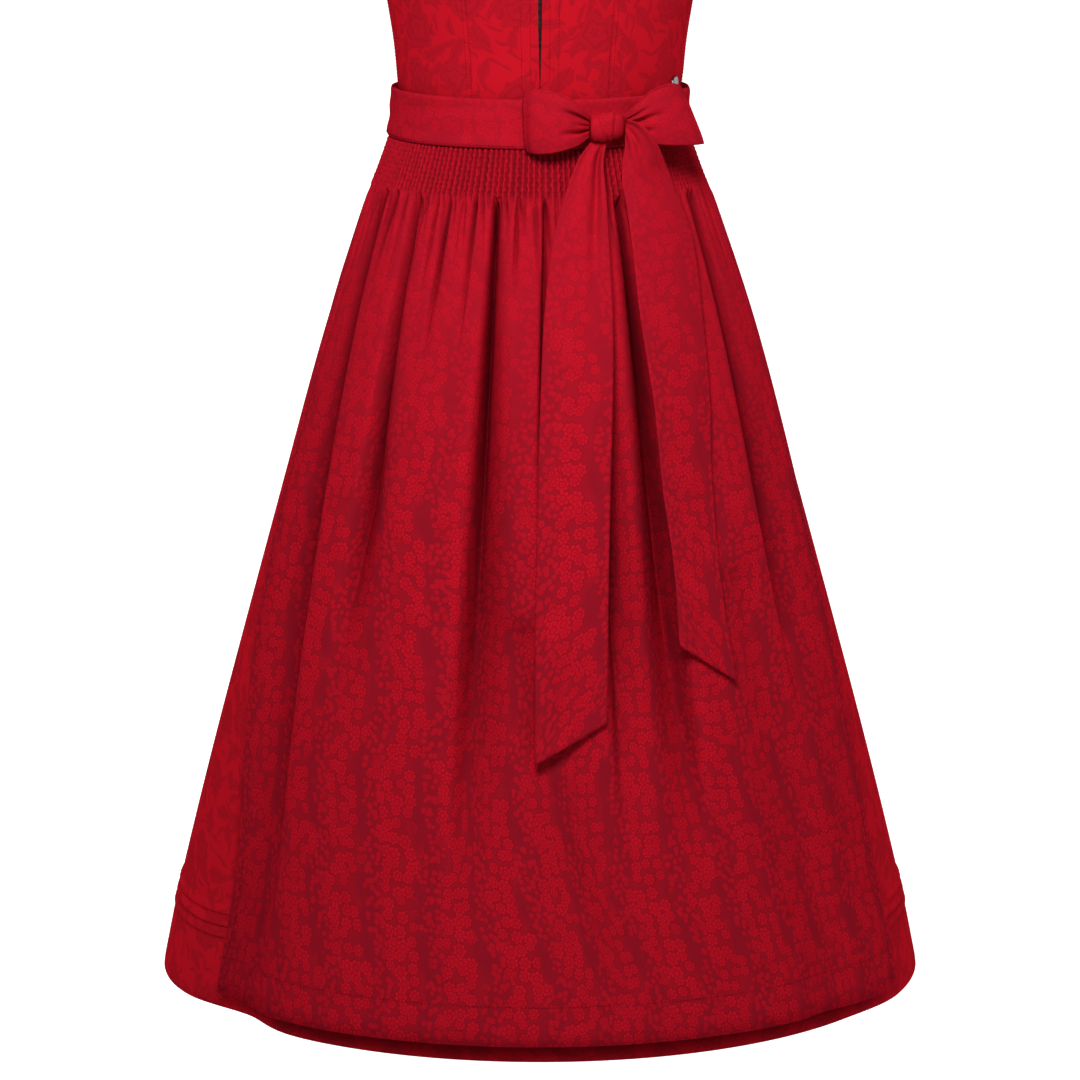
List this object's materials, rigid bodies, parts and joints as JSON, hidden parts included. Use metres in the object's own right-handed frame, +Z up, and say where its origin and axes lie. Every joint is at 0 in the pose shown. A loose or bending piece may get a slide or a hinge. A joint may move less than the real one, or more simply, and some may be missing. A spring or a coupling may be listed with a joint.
{
  "type": "dirndl",
  "caption": "Long sleeveless dirndl in red jacquard, with a front zip, a flared skirt with tucks above the hem, and a gathered apron with a smocked top, waist tie and bow.",
  "frame": {"origin": "midway between the two shoulder straps, at the height of the shoulders that carry them", "axes": "+Z up, the front faces -Y, +X towards the wearer's left"},
  "size_m": [0.677, 0.6206, 1.1732],
  "materials": {
    "dress_jacquard": "bright red jacquard with large tone-on-tone flower sprays, matt with a slight satin sheen",
    "apron_jacquard": "deeper red jacquard with bands of small flowers, matt with a slight satin sheen",
    "zip_tape": "dark red woven tape",
    "zip_metal": "aged metal teeth and slider",
    "tag_metal": "plain bright metal"
  },
  "bodies": {
    "garment": {"bodice_front_left": "dress_jacquard", "bodice_front_right": "dress_jacquard", "bodice_side_front_left": "dress_jacquard", "bodice_side_front_right": "dress_jacquard", "bodice_side_back_left": "dress_jacquard", "bodice_side_back_right": "dress_jacquard", "bodice_back": "dress_jacquard", "strap_left": "dress_jacquard", "strap_right": "dress_jacquard", "zip_chain": "zip_metal", "zip_tape": "zip_tape", "zip_slider": "zip_metal", "metal_tag": "tag_metal", "skirt_front": "dress_jacquard", "skirt_back_left": "dress_jacquard", "skirt_back_right": "dress_jacquard", "apron_panel": "apron_jacquard", "apron_smocking": "apron_jacquard", "apron_waistband": "apron_jacquard", "tie_wrap_right": "apron_jacquard", "tie_wrap_left": "apron_jacquard", "bow_knot": "apron_jacquard", "bow_loop_left": "apron_jacquard", "bow_loop_right": "apron_jacquard", "tail_right": "apron_jacquard", "tail_left": "apron_jacquard"},
    "pull_tab": {"zip_pull": "zip_metal"}
  },
  "joints": [
    {"name": "pull_tab_hinge", "type": "hinge", "parent": "garment", "child": "pull_tab", "pos_m": [0, -0.1299, -0.2015], "axis": [-1, 0, 0], "range_deg": [0, 150]}
  ]
}
